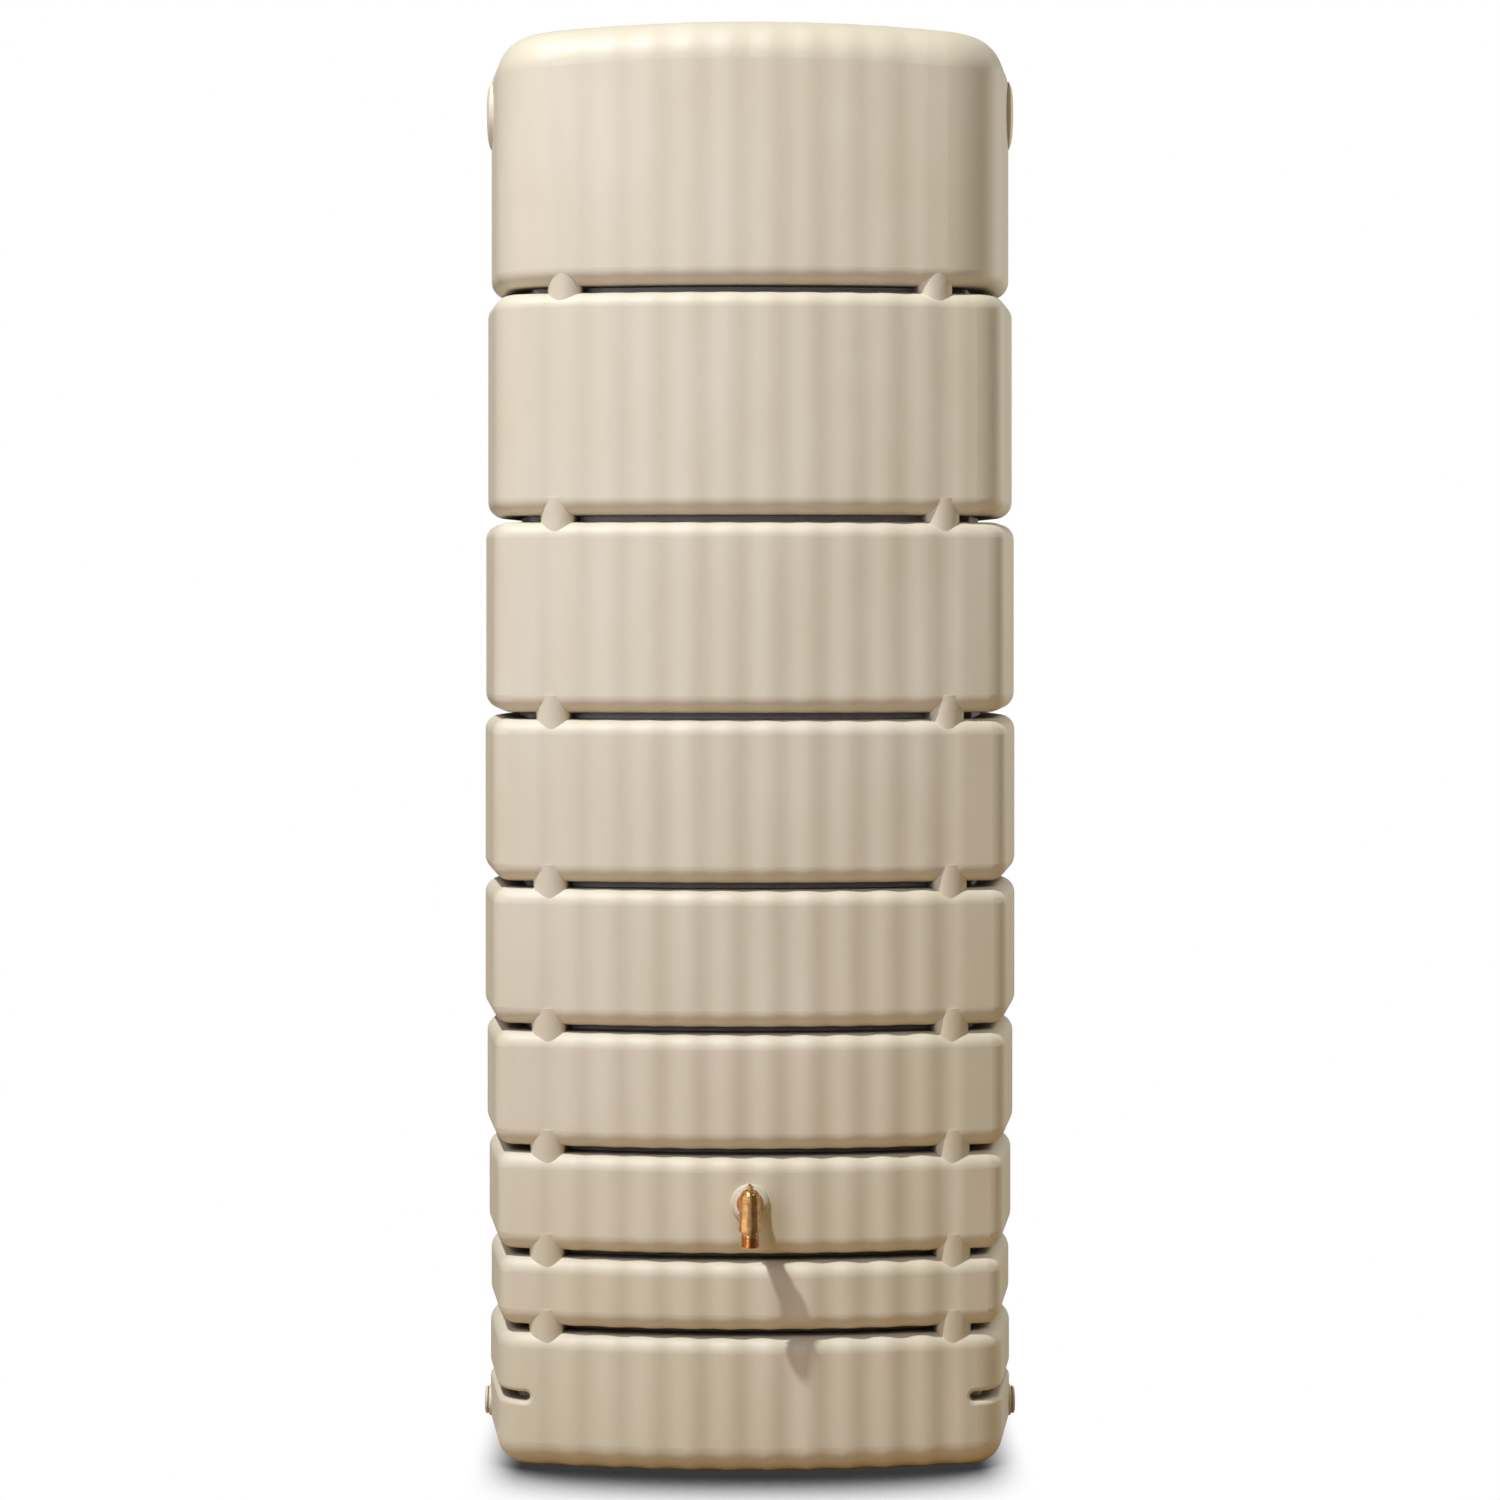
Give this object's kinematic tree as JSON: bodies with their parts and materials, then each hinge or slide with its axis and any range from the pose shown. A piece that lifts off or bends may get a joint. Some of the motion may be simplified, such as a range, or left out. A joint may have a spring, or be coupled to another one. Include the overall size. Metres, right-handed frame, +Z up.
{
  "type": "slimline water tank",
  "caption": "Tall slim moulded rainwater tank in banded, fluted plastic with knuckle posts in its slots, a brass tap low at the front, side plugs and a screw lid.",
  "frame": {"origin": "on the floor, below the middle of the bounding box", "axes": "+Z up, -Y towards the fluted front with the tap, +X to the right seen from the front"},
  "size_m": [0.786, 0.5684, 2.072],
  "materials": {
    "shell_plastic": "blow-moulded polyethylene, satin sand beige",
    "lid_plastic": "injection-moulded polyethylene, sand beige",
    "plug_plastic": "moulded plastic, sand beige",
    "tap_brass": "cast brass, turned and lightly polished",
    "insert_brass": "machined brass",
    "screw_steel": "zinc-plated steel",
    "seal_white": "white sealing ring",
    "seal_black": "black rubber",
    "seat_white": "white fluoropolymer"
  },
  "bodies": {
    "tank": {"tank_body": "shell_plastic", "front_port_insert": "insert_brass", "port_insert_left": "insert_brass", "port_insert_right": "insert_brass", "tap_wall_seal": "seal_white", "tap_body": "tap_brass", "tap_inlet_seat": "seat_white", "tap_outlet_seat": "seat_white", "tap_outlet_spout": "tap_brass", "tap_spout_seal": "seal_black", "tap_stem_washer": "seat_white", "tap_stem_packing": "seal_black", "tap_bonnet": "tap_brass"},
    "tap_valve": {"tap_handle": "tap_brass", "tap_handle_screw": "screw_steel", "tap_stem": "tap_brass", "tap_ball": "tap_brass"},
    "lid_seal": {"lid_gasket": "seal_black"},
    "lid": {"inlet_lid": "lid_plastic"},
    "left_plug_seal": {"side_plug_seal_left": "seal_black"},
    "left_plug": {"side_plug_left": "plug_plastic"},
    "right_plug_seal": {"side_plug_seal_right": "seal_black"},
    "right_plug": {"side_plug_right": "plug_plastic"}
  },
  "joints": [
    {"name": "tap_handle_turn", "type": "hinge", "parent": "tank", "child": "tap_valve", "pos_m": [0, -0.25775, 0.388], "axis": [0, 0, 1], "range_deg": [0, 90]},
    {"name": "lid_rise", "type": "slide", "parent": "tank", "child": "lid_seal", "axis": [0, 0, 1], "range_m": [0, 0.02]},
    {"name": "lid_turn", "type": "hinge", "parent": "lid_seal", "child": "lid", "pos_m": [0, 0.04425, 2.065], "axis": [0, 0, 1], "range_deg": [0, 1200]},
    {"name": "left_plug_out", "type": "slide", "parent": "tank", "child": "left_plug_seal", "axis": [-1, 0, 0], "range_m": [0, 0.0127]},
    {"name": "left_plug_turn", "type": "hinge", "parent": "left_plug_seal", "child": "left_plug", "pos_m": [-0.39, 0.04425, 0.052], "axis": [-1, 0, 0], "range_deg": [0, 2520]},
    {"name": "right_plug_out", "type": "slide", "parent": "tank", "child": "right_plug_seal", "axis": [1, 0, 0], "range_m": [0, 0.0127]},
    {"name": "right_plug_turn", "type": "hinge", "parent": "right_plug_seal", "child": "right_plug", "pos_m": [0.39, 0.04425, 0.052], "axis": [1, 0, 0], "range_deg": [0, 2520]}
  ],
  "couplings": [
    {"joint": "lid_rise", "follows": "lid_turn", "m_per_rad": 0.00095493},
    {"joint": "left_plug_out", "follows": "left_plug_turn", "m_per_rad": 0.00028875},
    {"joint": "right_plug_out", "follows": "right_plug_turn", "m_per_rad": 0.00028875}
  ]
}
